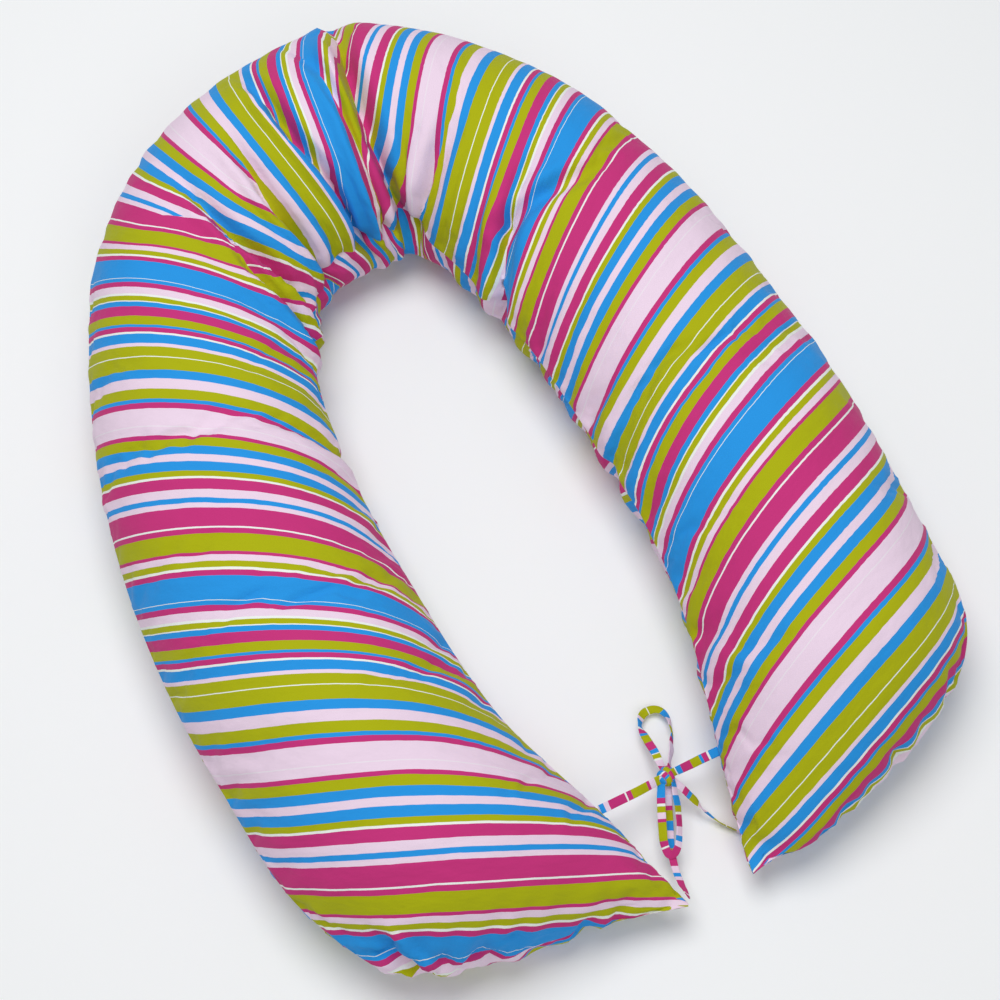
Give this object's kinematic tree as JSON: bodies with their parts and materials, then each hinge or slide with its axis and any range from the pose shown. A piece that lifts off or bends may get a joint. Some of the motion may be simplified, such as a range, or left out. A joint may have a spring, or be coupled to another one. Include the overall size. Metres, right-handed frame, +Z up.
{
  "type": "nursing pillow",
  "caption": "Crescent nursing pillow in a striped cotton cover, bent into a horseshoe with its ends tied in a bow; zip under the outer seam.",
  "frame": {"origin": "centre of the cushion's footprint on the surface it lies on", "axes": "+Y from the tied ends towards the crown, +Z up, +X to the right seen from the tied ends"},
  "size_m": [0.882, 1.04, 0.1816],
  "materials": {
    "cover_fabric": "printed plain-weave cotton with multicoloured stripes",
    "casing_fabric": "plain white cotton",
    "fibre_fill": "loose polyester fibre",
    "tie_fabric": "cover cotton folded and stitched into narrow bands",
    "zip_tape": "woven polyester tape",
    "zip_coil": "moulded nylon coil",
    "zip_metal": "enamelled zinc"
  },
  "bodies": {
    "crown": {"cover_top_crown": "cover_fabric", "cover_bottom_crown": "cover_fabric", "casing_top_crown": "casing_fabric", "casing_bottom_crown": "casing_fabric", "fill_crown": "fibre_fill"},
    "left_arm": {"cover_top_left": "cover_fabric", "cover_bottom_left": "cover_fabric", "casing_top_left": "casing_fabric", "casing_bottom_left": "casing_fabric", "fill_left": "fibre_fill", "tie_left": "tie_fabric", "zip_tape_upper": "zip_tape", "zip_tape_lower": "zip_tape", "zip_coil_upper": "zip_coil", "zip_coil_lower": "zip_coil", "zip_top_stop": "zip_coil", "zip_bottom_stop": "zip_coil"},
    "right_arm": {"cover_top_right": "cover_fabric", "cover_bottom_right": "cover_fabric", "casing_top_right": "casing_fabric", "casing_bottom_right": "casing_fabric", "fill_right": "fibre_fill", "tie_right": "tie_fabric", "bow_knot": "tie_fabric", "bow_loop_upper": "tie_fabric", "bow_loop_lower": "tie_fabric", "tie_end_left": "tie_fabric", "tie_end_right": "tie_fabric"},
    "zip_slider": {"zip_slider": "zip_metal"},
    "zip_pull": {"zip_pull": "zip_metal"}
  },
  "joints": [
    {"name": "left_arm_bend", "type": "hinge", "parent": "crown", "child": "left_arm", "pos_m": [-0.443, 0.215, 0.086], "axis": [0, 0, -1], "range_deg": [0, 30]},
    {"name": "right_arm_bend", "type": "hinge", "parent": "crown", "child": "right_arm", "pos_m": [0.0604, 0.443, 0.087], "axis": [0, 0, 1], "range_deg": [0, 30]},
    {"name": "zip_travel", "type": "hinge", "parent": "left_arm", "child": "zip_slider", "pos_m": [0.555, 0.2, 0.085], "axis": [0, 0, 1], "range_deg": [0, 24.8]},
    {"name": "zip_pull_swing", "type": "hinge", "parent": "zip_slider", "child": "zip_pull", "pos_m": [-0.43895, 0.13065, 0.07133], "axis": [0.3898, 0.0273, -0.9205], "range_deg": [0, 150]}
  ]
}
